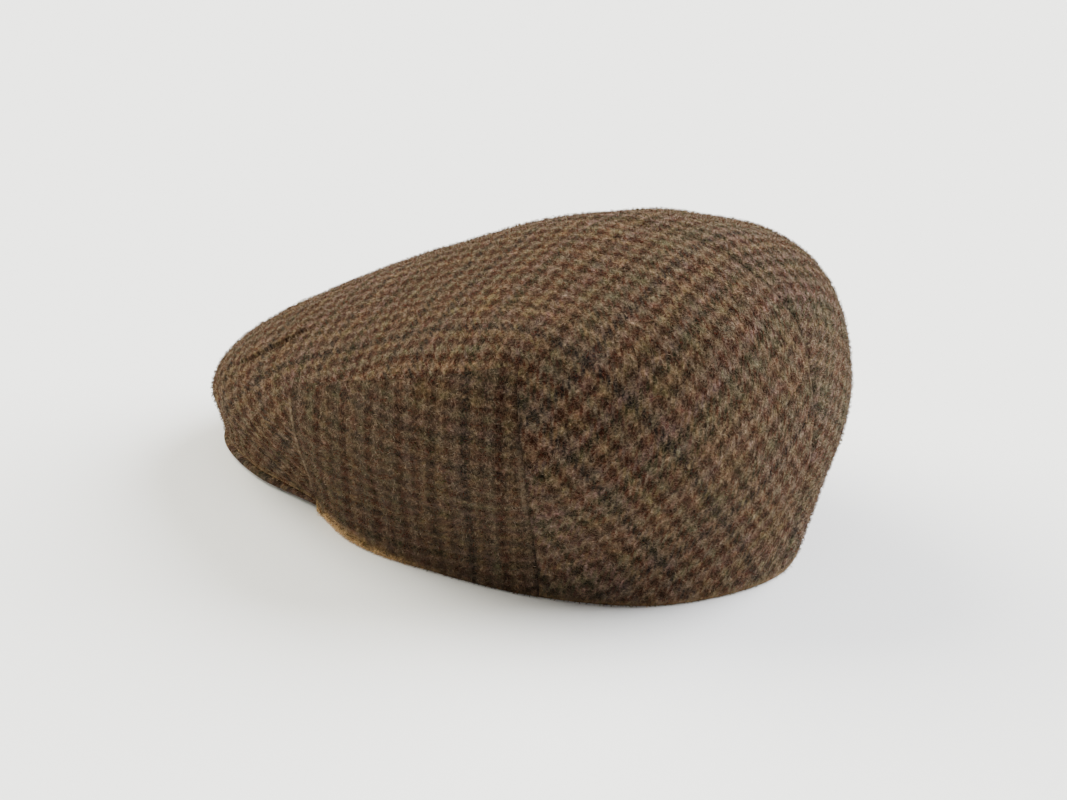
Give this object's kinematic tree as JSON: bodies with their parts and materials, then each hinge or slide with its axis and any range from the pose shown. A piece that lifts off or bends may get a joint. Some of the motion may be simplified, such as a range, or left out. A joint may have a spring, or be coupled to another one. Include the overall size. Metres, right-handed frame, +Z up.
{
  "type": "flat cap",
  "caption": "Flat cap in checked wool tweed: a full crown of two top halves and side panels, drawn down at the front over a short stiff peak.",
  "frame": {"origin": "middle of the cap's length and width, on the surface that its hem rests on", "axes": "+Z up, -Y towards the peak, +X towards the wearer's left"},
  "size_m": [0.202, 0.2476, 0.118],
  "materials": {
    "top_tweed": "fuzzy wool tweed, small check of tan and dark brown",
    "side_tweed": "fuzzy wool tweed, small check of tan and dark brown",
    "peak_tweed": "fuzzy wool tweed over a stiff peak"
  },
  "bodies": {
    "root": {"top_left": "top_tweed", "top_right": "top_tweed", "side_left": "side_tweed", "side_right": "side_tweed", "peak": "peak_tweed"}
  },
  "joints": []
}
